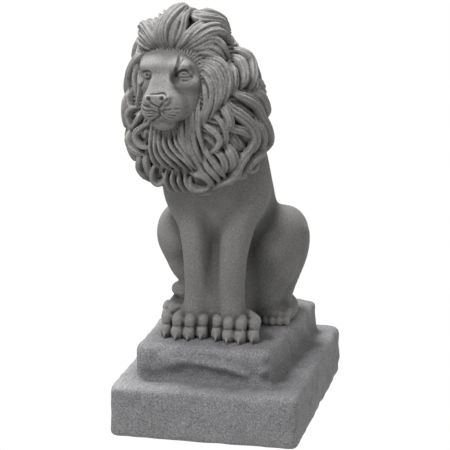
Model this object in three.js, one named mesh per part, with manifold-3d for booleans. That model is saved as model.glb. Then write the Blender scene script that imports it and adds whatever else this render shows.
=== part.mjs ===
// A seated lion on a two-step rock plinth, moulded as one solid.
// Millimetres, +Z up. The lion looks towards -Y, and the origin is under the middle of the slab.
import * as THREE from "three";
import { mergeVertices } from "three/addons/utils/BufferGeometryUtils.js";
import Module from "manifold-3d";

const wasm = await Module();
wasm.setup();

// Driving sizes
const HEIGHT = 711; // floor to the top of the mane
const SLAB_WIDTH = 324;
const SLAB_DEPTH = 430;
const SLAB_HEIGHT = 89;
const SLAB_EDGE = 15; // radius of its worn edges
const ROCK_WIDTH = 242;
const ROCK_DEPTH = 330;
const ROCK_HEIGHT = 59;
const ROCK_EDGE = 17;
const ROCK_FLARE = 12; // how far its left side runs outwards, front to middle and middle to rear
const ROCK_SHIFT = -7; // the rock stands a little towards the lion's right
const SINK = 6; // how far one body runs into the next, so that they join

const PLINTH_TOP = SLAB_HEIGHT + ROCK_HEIGHT;
const LION_HEIGHT = HEIGHT - PLINTH_TOP;

// The lion is drawn 563 units high, so a unit is a millimetre at the height above,
// and every number of its pose and carving is a share of LION_HEIGHT.
const DRAWN_HEIGHT = 563;
const UNIT = LION_HEIGHT / DRAWN_HEIGHT;
const LION_SHIFT = -8; // from the slab's middle plane to the lion's

// Head: the point between the eyes, and how far the head turns and leans to the lion's right
const EYES = new THREE.Vector3(-66, -147, 461);
const HEAD_TURN = THREE.MathUtils.degToRad(9);
const HEAD_LEAN = THREE.MathUtils.degToRad(3);

// Mane: the middle and the half sizes, across, along and up, of the mass that the locks lie on
const MANE_MIDDLE = new THREE.Vector3(-36, -46, 404);
const MANE_HALF = new THREE.Vector3(112, 96, 148);
const MANE_LEAN = 32; // how far its top lies to the lion's right
const MANE_SWAY = 14; // and its bottom
const MANE_PEAR = 0.15; // how much wider it is at the bottom than in the middle

// A figure's point in the part's frame
const place = (p) =>
  new THREE.Vector3(LION_SHIFT + p.x * UNIT, p.y * UNIT, PLINTH_TOP + p.z * UNIT);

// A closed three.js geometry as a manifold-3d solid
function solid(geometry) {
  const bare = new THREE.BufferGeometry();
  bare.setAttribute("position", geometry.getAttribute("position"));
  bare.setIndex(geometry.index);
  const merged = mergeVertices(bare, 1e-4);
  return new wasm.Manifold(
    new wasm.Mesh({
      numProp: 3,
      vertProperties: merged.attributes.position.array,
      triVerts: new Uint32Array(merged.index.array),
    }),
  );
}

// Moves every vertex of a geometry by a function from a point to a point
function reshape(geometry, move) {
  const position = geometry.getAttribute("position");
  for (let i = 0; i < position.count; i++) {
    const moved = move(new THREE.Vector3().fromBufferAttribute(position, i));
    position.setXYZ(i, moved.x, moved.y, moved.z);
  }
  return geometry;
}

// A unit ball. Its pole and seam vertices are rounded, so that their copies are equal and merge.
const roundOff = (v) => Math.round(v * 1e5) / 1e5;
const ball = (sides, rings) =>
  reshape(
    new THREE.SphereGeometry(1, sides, rings),
    (p) => new THREE.Vector3(roundOff(p.x), roundOff(p.y), roundOff(p.z)),
  );

// An ellipsoid of the figure: middle, half sizes, and a turn
function lump([x, y, z], [halfX, halfY, halfZ], turn = new THREE.Euler(), sides = 12, rings = 9) {
  const middle = new THREE.Vector3(x, y, z);
  const half = new THREE.Vector3(halfX, halfY, halfZ);
  return solid(reshape(ball(sides, rings), (p) => place(p.multiply(half).applyEuler(turn).add(middle))));
}

// A limb is a ball drawn out along a smooth curve. Each stop is [x, y, z, radius].
function limb(stops, sides = 12, rings = 2 * stops.length) {
  const curve = new THREE.CatmullRomCurve3(stops.map(([x, y, z]) => new THREE.Vector3(x, y, z)));
  const last = stops.length - 1;
  return solid(
    reshape(ball(sides, rings), (p) => {
      const along = Math.acos(THREE.MathUtils.clamp(-p.y, -1, 1)) / Math.PI;
      const low = Math.min(last - 1, Math.floor(along * last));
      const radius = THREE.MathUtils.lerp(stops[low][3], stops[low + 1][3], along * last - low);
      const fullness = Math.min(1, 3 * Math.sin(Math.PI * along));
      const tangent = curve.getTangent(along);
      const side = new THREE.Vector3(1, 0, 0).addScaledVector(tangent, -tangent.x).normalize();
      const front = new THREE.Vector3().crossVectors(side, tangent);
      const round = Math.hypot(p.x, p.z) || 1;
      return place(
        curve
          .getPoint(along)
          .addScaledVector(side, (p.x / round) * radius * fullness)
          .addScaledVector(front, (p.z / round) * radius * fullness),
      );
    }),
  );
}

// The head's own axes: ahead, to the lion's left, and up
const AHEAD = new THREE.Vector3(-Math.sin(HEAD_TURN), -Math.cos(HEAD_TURN), 0);
const LEFT = new THREE.Vector3(Math.cos(HEAD_TURN), -Math.sin(HEAD_TURN), 0).applyAxisAngle(AHEAD, HEAD_LEAN);
const UP = new THREE.Vector3().crossVectors(AHEAD, LEFT);

// A point of the head: to the left, ahead and up from the point between the eyes
const onHead = (left, ahead, up) =>
  EYES.clone().addScaledVector(LEFT, left).addScaledVector(AHEAD, ahead).addScaledVector(UP, up);

// The mane is mapped from a point inside the head. around runs from the top of the head, 0, over the
// lion's left, 90, to the throat, 180. back runs from the nose, 0, to the nape, 180. lift is the height
// over the mane's mass.
const INSIDE = onHead(0, -100, -22);

// Where a point lies in the mane's mass, as a share of the way out: 1 on its skin
function outness(p) {
  const away = p.clone().sub(MANE_MIDDLE);
  const up = away.z / MANE_HALF.z;
  const blunt = 2.3 - 0.3 * THREE.MathUtils.clamp(2 * up, -1, 1);
  const shares = [
    (away.x + MANE_LEAN * Math.max(0, up) ** 1.5 + MANE_SWAY * Math.max(0, -up)) /
      (MANE_HALF.x * (1 - MANE_PEAR * up)),
    away.y / MANE_HALF.y,
    up,
  ];
  return shares.reduce((sum, share) => sum + Math.abs(share) ** blunt, 0) ** (1 / blunt);
}

function onMane(around, back, lift) {
  const a = THREE.MathUtils.degToRad(around);
  const b = THREE.MathUtils.degToRad(back);
  const way = AHEAD.clone()
    .multiplyScalar(Math.cos(b))
    .addScaledVector(LEFT, Math.sin(b) * Math.sin(a))
    .addScaledVector(UP, Math.sin(b) * Math.cos(a));
  let [near, far] = [0, 400];
  for (let halving = 0; halving < 24; halving++) {
    const middle = (near + far) / 2;
    if (outness(INSIDE.clone().addScaledVector(way, middle)) < 1) near = middle;
    else far = middle;
  }
  return INSIDE.clone().addScaledVector(way, near + lift);
}

// The hair is a ball whose sides run as locks from the face to the nape, four sides to a lock. The locks
// swell and thin in rows, staggered from one lock to the next, and swing from side to side.
const LOCKS = 18;
const LOCK_PROFILE = [0, 0.85, 1, 0.6];
const HAIR_RINGS = 26;
const HAIRLINE = 37; // degrees back where the locks start
const ROW = 50; // degrees from one row to the next
const LOCK_HEIGHT = 14;
const ROW_HEIGHT = 9;
const GROOVE_DEPTH = 8; // under the mane's mass
const FACE_PIT = 40; // how deep the mane is hollowed behind the face
const SWING = 7; // degrees
function hair() {
  const sides = LOCKS * LOCK_PROFILE.length;
  const wave = (turns) => Math.sin(2 * Math.PI * turns);
  return solid(
    reshape(ball(sides, HAIR_RINGS), (p) => {
      const back = THREE.MathUtils.radToDeg(Math.acos(THREE.MathUtils.clamp(-p.y, -1, 1)));
      const column = (Math.round((Math.atan2(p.x, p.z) / (2 * Math.PI)) * sides) + sides) % sides;
      const number = Math.floor(column / LOCK_PROFILE.length);
      const row = (back - HAIRLINE) / ROW;
      const swell = 0.5 + 0.5 * wave(row + 0.5 * (number % 2) + 0.15 * wave(0.27 * number));
      const profile = LOCK_PROFILE[column % LOCK_PROFILE.length];
      const sunk = back < HAIRLINE - 4 || back > 176;
      const lift = sunk ? -FACE_PIT : LOCK_HEIGHT * profile + ROW_HEIGHT * swell - GROOVE_DEPTH;
      const level = (360 * column) / sides;
      const fall = 10 * wave(level / 360) * (back / 90);
      return place(onMane(level + fall + SWING * wave(row + level / 360), back, back > 176 ? 4 : lift));
    }),
  );
}

// A grid line of a block, moved so that the outermost cells are as wide as the worn edge
function gridLine(v, half, edge, cells) {
  const line = Math.round(((v + half) * cells) / (2 * half));
  return line === 0 || line === cells ? v : (half - edge) * ((2 * (line - 1)) / (cells - 2) - 1);
}

// A block with worn edges that is a little uneven, as hewn rock is, on the point [x, y, z]
function hewnBlock([x, y, z], [width, depth, height], edge, wear, flare, [cellsX, cellsY, cellsZ]) {
  const half = new THREE.Vector3(width / 2, depth / 2, height / 2);
  const inner = half.clone().subScalar(edge);
  return solid(
    reshape(new THREE.BoxGeometry(width, depth, height, cellsX, cellsY, cellsZ), (p) => {
      p.set(
        gridLine(p.x, half.x, edge, cellsX),
        gridLine(p.y, half.y, edge, cellsY),
        gridLine(p.z, half.z, edge, cellsZ),
      );
      const core = p.clone().clamp(inner.clone().negate(), inner);
      const outward = p.clone().sub(core).normalize();
      const uneven =
        Math.sin(p.x / 31 + p.z / 23) * Math.cos(p.y / 37) + 0.5 * Math.sin(p.y / 19 - p.x / 27 + p.z / 13);
      core.addScaledVector(outward, edge + wear * uneven * (1 - Math.abs(outward.z)));
      core.x += flare * Math.max(0, p.x / half.x) * (p.y / half.y);
      return core.add(new THREE.Vector3(x, y, z + height / 2));
    }),
  );
}

function plinth() {
  const under = SLAB_EDGE / 2; // cut off below, so that the slab's lower edge is sharper than the upper
  const slab = hewnBlock([0, 0, -under], [SLAB_WIDTH, SLAB_DEPTH, SLAB_HEIGHT + under],
    SLAB_EDGE, 2, 0, [6, 7, 4]).trimByPlane([0, 0, 1], 0);
  const rockRoot = SINK + ROCK_EDGE;
  const rock = hewnBlock([ROCK_SHIFT, 5, SLAB_HEIGHT - rockRoot],
    [ROCK_WIDTH, ROCK_DEPTH, ROCK_HEIGHT + rockRoot], ROCK_EDGE, 4, ROCK_FLARE, [7, 8, 4]);
  return [slab, rock];
}

const mirrored = (stops) => stops.map(([x, ...rest]) => [-x, ...rest]);

function torso() {
  const trunk = limb(
    [
      [-22, -26, 380, 70], [-15, -12, 300, 88], [-6, 28, 215, 88],
      [0, 72, 125, 86], [0, 96, 55, 80], [0, 100, -12, 72],
    ],
    16, 12);
  const chest = lump([-9, -38, 250], [88, 62, 100], new THREE.Euler(), 14, 10);
  const web = limb([[0, -42, 190, 20], [0, -52, 110, 24], [0, -62, 40, 26], [0, -66, -4, 28]]);
  const belly = lump([0, 10, 60], [62, 70, 110]);
  return [trunk, chest, web, belly];
}

// The left limbs. The right ones are their mirror image.
const FORELEG = [
  [44, -18, 300, 30], [52, -44, 246, 40], [41, -63, 197, 28],
  [34, -72, 150, 25], [32, -75, 110, 23.5], [31.5, -76, 68, 22], [34, -82, 34, 25],
];
const SHIN = [[92, 30, 140, 34], [95, 6, 104, 36], [85, 10, 60, 29], [78, 22, 26, 24]];
const TOE_SPREAD = 21; // from one front toe to the next
const TOE_RADIUS = 11.5;

function forepaw(side) {
  const middle = 43;
  const bodies = [lump([side * 39, -86, 20], [36, 30, 24], new THREE.Euler(), 10, 7)];
  for (let toe = 0; toe < 4; toe++) {
    const offset = toe - 1.5;
    const x = side * (middle + offset * TOE_SPREAD);
    const y = -118 + 5.5 * Math.abs(offset) ** 1.6;
    const stops = [
      [side * (39 + offset * 13), y + 34, 32, TOE_RADIUS - 1.5],
      [x, y + 16, 26, TOE_RADIUS - 0.5],
      [x, y - 2, 14, TOE_RADIUS],
      [x, y - 7, 3, TOE_RADIUS - 4.5],
    ];
    bodies.push(
      limb(stops, 6, 6),
      limb([[x, y - 11, 12, 3.4], [x, y - 16, 5, 2.6], [x, y - 16, -1, 1.4]], 4, 3),
    );
  }
  return bodies;
}

function hindpaw(side) {
  const bodies = [lump([side * 75, 50, 17], [30, 64, 25], new THREE.Euler(), 9, 7)];
  for (let toe = 0; toe < 4; toe++) {
    const x = side * (52 + toe * 16);
    const y = 2 + 3 * Math.abs(toe - 1.5);
    bodies.push(lump([x, y, 9], [9, 12, 11], new THREE.Euler(), 6, 5));
  }
  return bodies;
}

function legs() {
  const thigh = (side) =>
    lump([side * 84, 50, 134], [52, 84, 64], new THREE.Euler(0, side * 0.25, 0), 14, 10);
  return [1, -1].flatMap((side) => [
    limb(side > 0 ? FORELEG : mirrored(FORELEG), 10, 11),
    limb(side > 0 ? SHIN : mirrored(SHIN), 9, 7),
    thigh(side),
    ...forepaw(side),
    ...hindpaw(side),
  ]);
}

// The tail leaves the rump, lies round the right haunch, and its tuft rests on the right hind paw.
function tail() {
  const length = limb(
    [[10, 132, 34, 13], [-30, 146, 14, 11], [-78, 128, 10, 10], [-100, 92, 14, 9], [-104, 58, 30, 9]], 8, 14);
  const tuft = lump([-96, 42, 37], [14, 20, 14], new THREE.Euler(), 10, 8);
  return [length, tuft];
}

// The face is a domed shield with these swellings on it, in the head's axes: [left, up] of the middle, half
// sizes, height and bluntness. Those off the middle plane stand on both sides.
const FACE_MIDDLE = -22; // how far it lies under the eyes
const FACE_HALF_WIDTH = 63;
const FACE_HALF_HEIGHT = 74;
const FACE_DOME = 54;
const SKULL_DEPTH = 60;
const SWELLINGS = [
  [[0, -49], [33, 27], 42, 1.7], // muzzle
  [[0, -33], [23, 12], 11, 1.4], // nose
  [[0, -12], [15, 20], 16, 1], // bridge of the nose
  [[0, -76], [21, 11], 14, 1], // chin
  [[17, -51], [15, 14], 5, 1], // whisker pad
  [[40, -34], [17, 24], 12, 1], // cheek
  [[25, 16], [21, 8], 9, 1], // brow
  [[33, 0], [18, 9], -13, 1], // eye socket
  [[33, -1], [11, 6], 9, 1], // eye
];
const FACE_SIDES = 30;
const FACE_RINGS = 20;
const FACE_SHARE = 0.72; // of the rings
function head() {
  const swelling = (left, up) => {
    let height = 0;
    for (const [[middleLeft, middleUp], [halfLeft, halfUp], top, blunt] of SWELLINGS)
      for (const side of middleLeft ? [1, -1] : [1]) {
        const away = Math.hypot((left - side * middleLeft) / halfLeft, (up - middleUp) / halfUp);
        height += top * Math.exp(-(away ** (2 * blunt)));
      }
    return height;
  };
  return solid(
    reshape(ball(FACE_SIDES, FACE_RINGS), (p) => {
      const share = Math.acos(THREE.MathUtils.clamp(-p.y, -1, 1)) / Math.PI;
      const turn = Math.atan2(p.x, p.z);
      const onFace = share < FACE_SHARE;
      const behind = (Math.PI / 2) * THREE.MathUtils.clamp((share - FACE_SHARE) / (1 - FACE_SHARE), 0, 1);
      const spread = onFace ? share / FACE_SHARE : Math.cos(behind);
      const left = FACE_HALF_WIDTH * spread * Math.sin(turn);
      const up = FACE_MIDDLE + FACE_HALF_HEIGHT * spread * Math.cos(turn);
      const dome = FACE_DOME * (Math.sqrt(Math.max(0, 1 - spread ** 2.4)) - 1);
      const relief = swelling(left, up) * (1 - spread ** 8);
      return place(onHead(left, onFace ? dome + relief : -FACE_DOME - SKULL_DEPTH * Math.sin(behind), up));
    }),
  );
}

const bodies = [...plinth(), ...torso(), ...legs(), ...tail(), head(), hair()];
const joined = wasm.Manifold.union(bodies);
// The outer skin alone is kept, so that the pockets sealed in between locks are filled.
const [lion] = joined.decompose().sort((a, b) => b.volume() - a.volume());
const mesh = lion.getMesh();
const geometry = new THREE.BufferGeometry();
geometry.setAttribute("position", new THREE.BufferAttribute(mesh.vertProperties, 3));
geometry.setIndex(new THREE.BufferAttribute(mesh.triVerts, 1));
geometry.computeVertexNormals();

const greyGranite = new THREE.MeshStandardMaterial({ color: 0x7d7b7a, roughness: 0.92, metalness: 0 });
const statue = new THREE.Mesh(geometry, greyGranite);
statue.name = "lion_statue";

const model = new THREE.Group();
model.add(statue);
export default model;
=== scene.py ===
# %% [markdown]
# The object is a seated lion on a rock and a slab, moulded as one and finished like speckled granite.
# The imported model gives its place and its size. Everything here is drawn in millimetres, in that frame,
# and turned into metres when a mesh is made.

# %% Load the frame
import bpy
import numpy as np
from mathutils import Matrix, Vector


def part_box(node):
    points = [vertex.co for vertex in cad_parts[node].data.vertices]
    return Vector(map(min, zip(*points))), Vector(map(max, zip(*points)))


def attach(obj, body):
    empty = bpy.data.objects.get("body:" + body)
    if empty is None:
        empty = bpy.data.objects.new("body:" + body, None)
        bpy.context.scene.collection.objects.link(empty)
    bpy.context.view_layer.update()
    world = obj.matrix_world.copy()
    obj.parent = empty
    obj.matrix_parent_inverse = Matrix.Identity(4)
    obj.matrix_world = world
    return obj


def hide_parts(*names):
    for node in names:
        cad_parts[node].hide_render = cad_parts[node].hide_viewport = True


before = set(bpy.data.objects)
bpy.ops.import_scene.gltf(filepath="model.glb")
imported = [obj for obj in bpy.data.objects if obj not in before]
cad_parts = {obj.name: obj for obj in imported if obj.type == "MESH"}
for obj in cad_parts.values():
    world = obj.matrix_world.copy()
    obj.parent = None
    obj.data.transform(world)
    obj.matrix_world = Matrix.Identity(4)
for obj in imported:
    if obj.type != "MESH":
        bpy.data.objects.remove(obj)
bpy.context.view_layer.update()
low, high = [np.array(corner) * 1000 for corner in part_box("lion_statue")]
print("the solid model, mm:", np.round(high - low))

# %% [markdown]
# The lion is drawn from the top of the rock, 563 units high. A unit is a millimetre at the usual size, so
# a statue that the frame makes larger or smaller takes its figure with it.

# %% Driving sizes
USUAL_HEIGHT = 711
SCALE = (high[2] - low[2]) / USUAL_HEIGHT
SLAB_HEIGHT = 89
ROCK_HEIGHT = 59
LION_ORIGIN = np.array([-8, 0, SLAB_HEIGHT + ROCK_HEIGHT])
FINE = 1.0
print("scale of the drawing:", round(SCALE, 3))

# %% [markdown]
# The photograph was taken from a little to the statue's left and above. The camera stands where the
# plinth's corners and the figure fall on theirs in the picture, which is 450 pixels wide. Later the locks
# of the mane are placed along lines of sight from it.

# %% The camera
AZIMUTH, ELEVATION = np.radians(12.68), np.radians(14.59)
CAMERA_AT = np.array([735.7, -3306.3, 1203.0])
LENS = 162.5
SENSOR = 36
PICTURE_WIDTH = 450
LEVEL = np.cos(ELEVATION)
BACK = np.array([np.sin(AZIMUTH) * LEVEL, -np.cos(AZIMUTH) * LEVEL, np.sin(ELEVATION)])
RIGHT = np.array([np.cos(AZIMUTH), np.sin(AZIMUTH), 0])
OVER = np.cross(BACK, RIGHT)
NEAREST, FURTHEST = 2900, 3750  # how far from the camera the lion can be
print("the camera stands", round(np.linalg.norm(CAMERA_AT)), "mm from the middle of the slab")


def sight(across, down):
    """The direction of the line of sight through a pixel of the picture."""
    pixel = SENSOR / LENS / PICTURE_WIDTH
    return RIGHT * (across - PICTURE_WIDTH / 2) * pixel - OVER * (down - PICTURE_WIDTH / 2) * pixel - BACK


# %% [markdown]
# A sculptor builds such a lion from clay: lumps are pressed together, hair is laid on in strips, and lines
# are cut with a tool. The same is done here with a field. A block of space is divided by a grid, and each
# grid point holds its distance to the surface, under zero inside. A lump is another distance, and joining
# it is taking the smaller of the two. Rounding that choice off makes the soft joint of wet clay, and taking
# the larger of the field and a tool's distance with its sign turned cuts it away.

# %% A soft join
def rounded_less(a, b, soft):
    """The smaller of two distances, with the corner between them filled over a width of soft."""
    overlap = np.maximum(soft - np.abs(a - b), 0) / soft
    return np.minimum(a, b) - overlap * overlap * soft / 4


# %% [markdown]
# A shape comes with the box that it fills, so that only the grid points near it are worked on. A part that
# is one of several sinks under its neighbour past a cut, like a tenon that hides in the next block.

# %% The clay
EMPTY = 60  # the distance that a bare grid holds
DIP = 0.05  # how fast a part sinks past its cut


class Clay:
    """A grid of distances between two corners, with its points step apart."""

    def __init__(self, low_corner, high_corner, step):
        """A bare grid, all of it EMPTY."""
        self.step = step
        self.low = np.array(low_corner, float)
        self.axes = [np.arange(a, b, step, dtype=np.float32) for a, b in zip(low_corner, high_corner)]
        self.field = np.full([len(axis) for axis in self.axes], EMPTY, np.float32)

    def window(self, corners):
        """The slices of the grid that a box covers, and the coordinates of its points."""
        cut = []
        for axis, a, b in zip(self.axes, *corners):
            cut.append(slice(*np.searchsorted(axis, (a, b))))
        sides = [axis[part] for axis, part in zip(self.axes, cut)]
        return tuple(cut), np.meshgrid(*sides, indexing="ij", sparse=True)

    def points(self):
        """The coordinates of all its points."""
        return np.meshgrid(*self.axes, indexing="ij", sparse=True)

    def press(self, shape, soft, sign):
        """Takes the smaller of the field and a shape's distance, rounded. With sign -1 the field is turned
        round before and after. A shape is its box and its distance as a function of x, y, z."""
        corners, distance = shape
        room = soft + 2 * self.step
        cut, points = self.window((corners[0] - room, corners[1] + room))
        if self.field[cut].size:
            self.field[cut] = sign * rounded_less(sign * self.field[cut], distance(*points), soft)

    def join(self, shape, soft=1.0):
        """Adds a shape."""
        self.press(shape, soft, 1)

    def carve(self, shape, soft=1.0):
        """Cuts a shape away."""
        self.press(shape, soft, -1)

    def litres(self):
        """How much clay there is: the points inside times the step cubed."""
        return round(float((self.field < 0).sum() * self.step**3 / 1e6), 2)

    def part_off(self, cuts):
        """Sinks the surface past each cut, an axis, a place and the way past it, by DIP times the square of
        the distance past it. The field before the cuts is kept, to measure hollows in."""
        self.whole = self.field.copy()
        for axis, place, way in cuts:
            past = np.maximum(0, way * (self.axes[axis] - place))
            self.field += (DIP * past * past).reshape([-1 if k == axis else 1 for k in range(3)])


# %% [markdown]
# Two shapes make nearly all of the body. An egg is a ball stretched along three axes. A limb is a line
# through a few stops, each with its own thickness, like the wire and clay of an armature.

# %% Eggs and limbs
def smooth_path(stops, count):
    """A curve through the stops, a cubic between each two (Catmull and Rom's), at count even steps."""
    stops = np.asarray(stops, float)
    padded = np.vstack([2 * stops[0] - stops[1], stops, 2 * stops[-1] - stops[-2]])
    place = np.linspace(0, len(stops) - 1, count)
    first = np.minimum(place.astype(int), len(stops) - 2)
    t = (place - first)[:, None]
    a, b, c, d = [padded[first + k] for k in range(4)]
    return 0.5 * (2 * b + (c - a) * t + (2 * a - 5 * b + 4 * c - d) * t**2 + (3 * b - a - 3 * c + d) * t**3)


def egg(middle, half, axes=np.eye(3)):
    """A stretched ball. With q the point over the half sizes, and s the point over their squares, the
    distance is near |q| (|q| - 1) / |s|."""
    middle, half, axes = np.asarray(middle, float), np.asarray(half, float), np.asarray(axes, float)
    reach = np.sqrt(((axes * half[:, None]) ** 2).sum(0))

    def distance(x, y, z):
        away = (x - middle[0], y - middle[1], z - middle[2])
        q = s = 0
        for row, size in zip(axes, half):
            along = row[0] * away[0] + row[1] * away[1] + row[2] * away[2]
            q = q + (along / size) ** 2
            s = s + (along / size**2) ** 2
        q = np.sqrt(q)
        return (q * (q - 1) / np.maximum(np.sqrt(s), 1e-6)).astype(np.float32)

    return (middle - reach, middle + reach), distance


def limb(stops, count=0):
    """A round rod through stops of x, y, z and radius: the distance to the nearest point of the line, less
    the radius there."""
    path = smooth_path(stops, count or 3 * len(stops) + 1)
    reach = path[:, 3:].max()

    def distance(x, y, z):
        least = np.float32(1e6)
        for start, end in zip(path[:-1], path[1:]):
            run = end[:3] - start[:3]
            ahead = (x - start[0]) * run[0] + (y - start[1]) * run[1] + (z - start[2]) * run[2]
            share = np.clip(ahead / (run @ run), 0, 1).astype(np.float32)
            off = sum((p - s - share * r) ** 2 for p, s, r in zip((x, y, z), start, run))
            least = np.minimum(least, np.sqrt(off) - (start[3] + share * (end[3] - start[3])))
        return least

    return (path[:, :3].min(0) - reach, path[:, :3].max(0) + reach), distance


# %% [markdown]
# The field becomes a mesh by surface nets. Each grid edge whose ends lie on different sides of the surface
# has a crossing. Each cube with crossings gets one vertex, at their mean, and each crossed edge joins its
# four cubes with a face.

# %% Crossings
def crossings(field, axis):
    """The grid edges along an axis that the surface cuts: their lower ends, the cut's share of the way,
    and whether the lower end is inside."""
    parts = [slice(None)] * 3
    parts[axis] = slice(0, -1)
    before = field[tuple(parts)]
    parts[axis] = slice(1, None)
    after = field[tuple(parts)]
    cells = np.argwhere((before < 0) != (after < 0))
    a = before[tuple(cells.T)]
    b = after[tuple(cells.T)]
    return cells, a / (a - b), a < 0


# %% [markdown]
# A pocket closed in by clay would leave a loose shell inside the mesh, so only the largest connected
# surface is kept.

# %% The largest surface
def largest_part(count, faces):
    """Marks the vertices of the largest connected surface. Each vertex takes the lowest number among its
    neighbours', over and over, until every part has one number."""
    label = np.arange(count)
    while True:
        lowest = label[faces].min(1)
        new = label.copy()
        for corner in range(4):
            np.minimum.at(new, faces[:, corner], lowest)
        new = new[new]
        if (new == label).all():
            return label == np.bincount(label).argmax()
        label = new


# %% [markdown]
# Two more things are asked of the mesh. The grid's steps should not show, so the vertices are relaxed. And
# the material paints shade and dirt into the grooves, so each vertex carries how hollow it lies. Both could
# be done in Blender by hand, with the smooth brush and dirty vertex colours.

# %% Smoothing and hollows
def relaxed(values, faces, share, times):
    """Moves each vertex's values a share of the way to the mean of its faces' middles, several times. This
    wipes the grid's steps off, as a wet finger does on clay."""
    corners = faces.ravel()
    number = np.bincount(corners)[:, None]
    for _ in range(times):
        middles = np.repeat(values[faces].mean(1), 4, 0)
        means = np.stack([np.bincount(corners, column) for column in middles.T], 1) / number
        values = values + share * (means - values)
    return values


REACHES = ((2, 0.6), (5, 0.4))  # in steps of the grid, each with its weight
CONTRAST = 2.2


def hollowness(field, points):
    """How far a point lies in a groove, from -1 on a ridge to 1: the field less its mean at six points
    round it over their reach, near by and further off, times the contrast."""
    nearest = np.round(points).astype(int)
    here = field[tuple(nearest.T)]
    total = 0
    for reach, weight in REACHES:
        mean = 0
        for axis in range(3):
            for way in (-reach, reach):
                there = nearest.copy()
                there[:, axis] = np.clip(there[:, axis] + way, 0, field.shape[axis] - 1)
                mean = mean + field[tuple(there.T)] / 6
        total = total + weight * (here - mean) / reach
    return np.clip(CONTRAST * total, -1, 1)


# %% [markdown]
# Now the skin can be taken off the clay. The blur beforehand matters for hair: a line finer than the grid
# would come out as a row of beads.

# %% From clay to mesh
def skin(clay):
    """The mesh of a field: its vertices, its four-sided faces, and how hollow each vertex lies. The field
    is first blurred by (1, 4, 1) / 6 along each axis, and closed at the walls of its box."""
    field = clay.field
    for axis in range(3):
        layers = np.moveaxis(field, axis, 0)
        layers[1:-1] = (layers[:-2] + 4 * layers[1:-1] + layers[2:]) / 6
        layers[0] = layers[-1] = 1
    shape = np.array(field.shape)
    strides = np.array([shape[1] * shape[2], shape[2], 1])
    cell_list, place_list, face_list = [], [], []
    for axis in range(3):
        cells, share, inside = crossings(field, axis)
        place = cells.astype(float)
        place[:, axis] += share
        b, c = strides[(axis + 1) % 3], strides[(axis + 2) % 3]
        here = cells @ strides
        around = np.stack([here - b - c, here - c, here, here - b], 1)
        around[~inside] = around[~inside][:, ::-1]
        face_list.append(around)
        cell_list.append(around.ravel())
        place_list.append(np.repeat(place, 4, 0))
    cells, index = np.unique(np.concatenate(cell_list), return_inverse=True)
    places = np.concatenate(place_list)
    number = np.bincount(index)
    points = np.stack([np.bincount(index, places[:, k]) / number for k in range(3)], 1)
    faces = index.reshape(-1, 4)
    kept = largest_part(len(points), faces)
    faces = (np.cumsum(kept) - 1)[faces[kept[faces[:, 0]]]]
    points = points[kept]
    hollow = relaxed(hollowness(clay.whole, points)[:, None], faces, 1, 2)[:, 0]
    return clay.low + relaxed(points, faces, 0.5, 1) * clay.step, faces, hollow


# %% [markdown]
# A piece is such a mesh as an object. Its material asks for two numbers at every vertex, how hollow it lies
# and how coarse its grain is, so both are stored with the mesh.

# %% A piece
def put(name, data):
    """Puts an object made of mesh, lamp or camera data into the scene."""
    made = bpy.data.objects.new(name, data)
    bpy.context.scene.collection.objects.link(made)
    return made


def piece(name, clay, origin=(0, 0, 0), shade_and_dirt=1.0, worn=0.0, coarse=0.0, cuts=()):
    """Puts a field's skin into a Blender object: (point + origin) in millimetres times the drawing's scale,
    over 1000. shade_and_dirt is how much of its hollowness will show as painted shade and grime in the
    grooves, worn is taken off it, which leaves the piece lighter, coarse is its share of rough grain, and
    cuts are where it sinks under its neighbours."""
    clay.part_off(cuts)
    points, faces, hollow = skin(clay)
    # Hollowness becomes painted shade and dirt in the grooves, less the wear.
    hollow = hollow * shade_and_dirt - worn
    mesh = bpy.data.meshes.new(name)
    mesh.from_pydata(((points + origin) * SCALE / 1000).tolist(), [], faces.tolist())
    mesh.attributes.new("hollow", "FLOAT", "POINT").data.foreach_set("value", hollow.astype(np.float32))
    mesh.attributes.new("coarse", "FLOAT", "POINT").data.foreach_set("value", np.full(len(points), coarse))
    mesh.shade_smooth()
    print(name, "has", 2 * len(faces), "triangles")
    return put(name, mesh)


# %% [markdown]
# The head turns, leans and nods a little, so the face is drawn in the head's own axes: to its left, ahead,
# and up, from the point between the eyes.

# %% The head's axes
def head_axes(turn, lean, nod):
    """The directions left, ahead and up of a head turned and leant to its right, and nodded, by degrees."""
    turn, lean, nod = np.radians((turn, lean, nod))
    ahead = np.array([-np.sin(turn) * np.cos(nod), -np.cos(turn) * np.cos(nod), -np.sin(nod)])
    level = np.array([np.cos(turn), -np.sin(turn), 0])
    left = level * np.cos(lean) + np.cross(ahead, level) * np.sin(lean)
    return np.array([left, ahead, np.cross(ahead, left)])


EYES = np.array([-69.5, -147, 457.0])
FACE = head_axes(turn=11, lean=5, nod=8)


def on_head(left, ahead, up):
    """A point of the head in the lion's frame."""
    return EYES + np.array([left, ahead, up]) @ FACE


def head_egg(at, half):
    """An egg at (left, ahead, up) from the point between the eyes, its axes those of the head."""
    return egg(on_head(*at), half, FACE)


def both_sides(at):
    """The place on the lion's left and the one on its right."""
    return [(side * at[0], *at[1:]) for side in (1, -1)]


# %% [markdown]
# The mane is a mass like a pear that leans to the lion's right, scored all over, with locks laid on it. Its
# share is 1 on its skin and less inside.

# %% The mane's mass
MANE_MIDDLE = np.array([-41, -46, 401.0])
MANE_HALF = np.array([110, 92, 152.0])
MANE_LEAN = 23
MANE_SWAY = 8
MANE_PEAR = 0.13
MANE_THICK = 85
INSIDE = np.array([-50, -48, 440.0])
MANE_AXES = head_axes(turn=9, lean=3, nod=0)


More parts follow.
